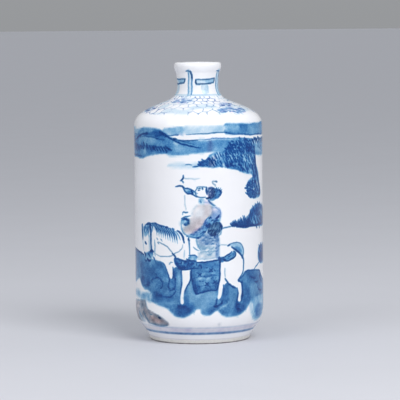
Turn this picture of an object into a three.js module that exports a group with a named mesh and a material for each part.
// A small cylindrical porcelain snuff bottle, thrown as one hollow piece with an open mouth.
// Units are millimetres and +Z is up. The origin is the middle of the foot ring's underside,
// and -Y is the painted front.
import * as THREE from "three";

// Driving sizes.
const HEIGHT = 85;
const BODY_RADIUS = 19.7;
const WALL = 2.3; // of the body and the shoulder
const SEGMENTS = 72; // facets round the bottle

// Foot: a ring that narrows towards the table, glazed above GLAZE_EDGE and bare below it.
const FOOT_RADIUS = 15.1;
const GLAZE_EDGE = { r: 15.95, z: 1.35 };
const FOOT_TOP = { r: 16.85, z: 3.25 };
const FOOT_INNER_RADIUS = 13.3;
const RECESS_RADIUS = 12.7; // of the hollow under the base
const RECESS_DEPTH = 1.6;
const BASE_THICKNESS = 2.4;

// Heel: a pared bevel under a rounded edge that runs into the straight wall.
const BEVEL_TOP = { r: 18.45, z: 5.2 };
const HEEL_PULL = { r: 19.65, z: 7.3 };
const HEEL_TOP_Z = 10.6;

// Shoulder: it leaves the wall upright, bends over a soft corner to a straight slope, and ends
// in a hollow that sweeps up into the neck.
const SHOULDER_Z = 65;
const SHOULDER_RISE = 3.5; // how far the corner follows the wall's line
const SHOULDER_REACH = 8; // how far it follows the slope's line
const SLOPE_START = { r: 11, z: 72.8 };
const SLOPE = THREE.MathUtils.degToRad(21); // above level
const HOLLOW_REACH = 2.5;
const HOLLOW_RISE = 4;

// Neck and lip.
const NECK_RADIUS = 6.33;
const NECK_WAIST_Z = 78.2;
const NECK_TOP = { r: 6.72, z: 81.9 };
const LIP_RADIUS = 7.27;
const LIP_MIDDLE_Z = 83.7;
const LAND_OUTER_RADIUS = 6.3; // the level land on top of the lip
const LAND_INNER_RADIUS = 4.9;
const BORE_RADIUS = 3.9;
const BORE_TOP_Z = 83.9;
const THROAT_ROUNDING = 1.6; // where the bore opens into the body
const FLOOR_CORNER = 4; // rounding between the floor and the wall inside

// Every curve is a list of [radius, height] points. Together they run from the middle of the
// underside out and up the outside, over the lip, and down the inside.

/** Turns an {r, z} size into a point. */
function at({ r, z }) {
  return [r, z];
}

/** Points along a curve from the first control point to the last, of three or four. */
function bend(controls, steps) {
  const vectors = controls.map(([r, z]) => new THREE.Vector2(r, z));
  const curve = controls.length === 3
    ? new THREE.QuadraticBezierCurve(...vectors)
    : new THREE.CubicBezierCurve(...vectors);
  return curve.getPoints(steps).map((point) => [point.x, point.y]);
}

/** The point that lies a distance along the shoulder's slope from a point, uphill if positive. */
function alongSlope([r, z], distance) {
  return [r - distance * Math.cos(SLOPE), z + distance * Math.sin(SLOPE)];
}

/** Height of a line with the shoulder's slope, at radius r, when it passes through a point. */
function slopeHeight([r0, z0], r) {
  return z0 + (r0 - r) * Math.tan(SLOPE);
}

/** The hollow under the base and the foot ring's bottom. */
function underside() {
  return [
    [0, RECESS_DEPTH],
    [RECESS_RADIUS, RECESS_DEPTH],
    [FOOT_INNER_RADIUS, 0],
    [FOOT_RADIUS, 0],
  ];
}

/** The outside of the foot, the bevel and the rounded heel, up to the straight wall. */
function footAndHeel() {
  return [
    at(GLAZE_EDGE),
    at(FOOT_TOP),
    ...bend([at(BEVEL_TOP), at(HEEL_PULL), [BODY_RADIUS, HEEL_TOP_Z]], 6),
  ];
}

/** The outside of the shoulder, from the straight wall to the waist of the neck. */
function shoulder() {
  const slopeStart = at(SLOPE_START);
  const corner = bend(
    [
      [BODY_RADIUS, SHOULDER_Z],
      [BODY_RADIUS, SHOULDER_Z + SHOULDER_RISE],
      alongSlope(slopeStart, -SHOULDER_REACH),
      slopeStart,
    ],
    9,
  );
  const hollow = bend(
    [
      slopeStart,
      alongSlope(slopeStart, HOLLOW_REACH),
      [NECK_RADIUS, NECK_WAIST_Z - HOLLOW_RISE],
      [NECK_RADIUS, NECK_WAIST_Z],
    ],
    7,
  );
  return [...corner, ...hollow.slice(1)];
}

/** The upper neck and the rolled lip, to the outer edge of the land. */
function neckAndLip() {
  const neck = bend(
    [[NECK_RADIUS, NECK_WAIST_Z], [NECK_RADIUS + 0.07, NECK_WAIST_Z + 2.1], at(NECK_TOP)],
    2,
  );
  const underLip = bend(
    [at(NECK_TOP), [LIP_RADIUS - 0.07, LIP_MIDDLE_Z - 0.8], [LIP_RADIUS, LIP_MIDDLE_Z]],
    3,
  );
  const overLip = bend(
    [[LIP_RADIUS, LIP_MIDDLE_Z], [LIP_RADIUS, HEIGHT], [LAND_OUTER_RADIUS, HEIGHT]],
    4,
  );
  return [...neck.slice(1), ...underLip.slice(1), ...overLip.slice(1)];
}

/** The inside: the mouth's edge, the bore, the throat, the shoulder, the wall and the floor. */
function inside() {
  const innerRadius = BODY_RADIUS - WALL;
  const wallUnderSlope = WALL / Math.cos(SLOPE);
  const slopeStart = [SLOPE_START.r, SLOPE_START.z - wallUnderSlope];
  const throatRadius = BORE_RADIUS + THROAT_ROUNDING;
  const throatTopZ = slopeHeight(slopeStart, BORE_RADIUS);
  const floorZ = RECESS_DEPTH + BASE_THICKNESS;
  const mouth = bend(
    [[LAND_INNER_RADIUS, HEIGHT], [BORE_RADIUS, HEIGHT], [BORE_RADIUS, BORE_TOP_Z]],
    3,
  );
  const throat = bend(
    [
      [BORE_RADIUS, throatTopZ + THROAT_ROUNDING],
      [BORE_RADIUS, throatTopZ],
      [throatRadius, slopeHeight(slopeStart, throatRadius)],
    ],
    3,
  );
  const corner = bend(
    [
      slopeStart,
      alongSlope(slopeStart, -SHOULDER_REACH * 0.7),
      [innerRadius, SHOULDER_Z + SHOULDER_RISE * 0.7],
      [innerRadius, SHOULDER_Z],
    ],
    5,
  );
  const floor = bend(
    [
      [innerRadius, floorZ + FLOOR_CORNER],
      [innerRadius, floorZ],
      [innerRadius - FLOOR_CORNER, floorZ],
    ],
    4,
  );
  return [...mouth, ...throat, ...corner, ...floor, [0, floorZ]];
}

/** The porcelain as one body, turned round the Z axis. */
function bottle() {
  const outline = [...underside(), ...footAndHeel(), ...shoulder(), ...neckAndLip(), ...inside()];
  const profile = outline.map(([r, z]) => new THREE.Vector2(r, z));
  const geometry = new THREE.LatheGeometry(profile, SEGMENTS);
  geometry.rotateX(Math.PI / 2); // the lathe turns round Y
  const glaze = new THREE.MeshStandardMaterial({
    color: new THREE.Color(0.86, 0.88, 0.92),
    roughness: 0.12,
    metalness: 0,
  });
  const mesh = new THREE.Mesh(geometry, glaze);
  mesh.name = "bottle";
  return mesh;
}

const snuffBottle = new THREE.Group();
snuffBottle.add(bottle());

export default snuffBottle;
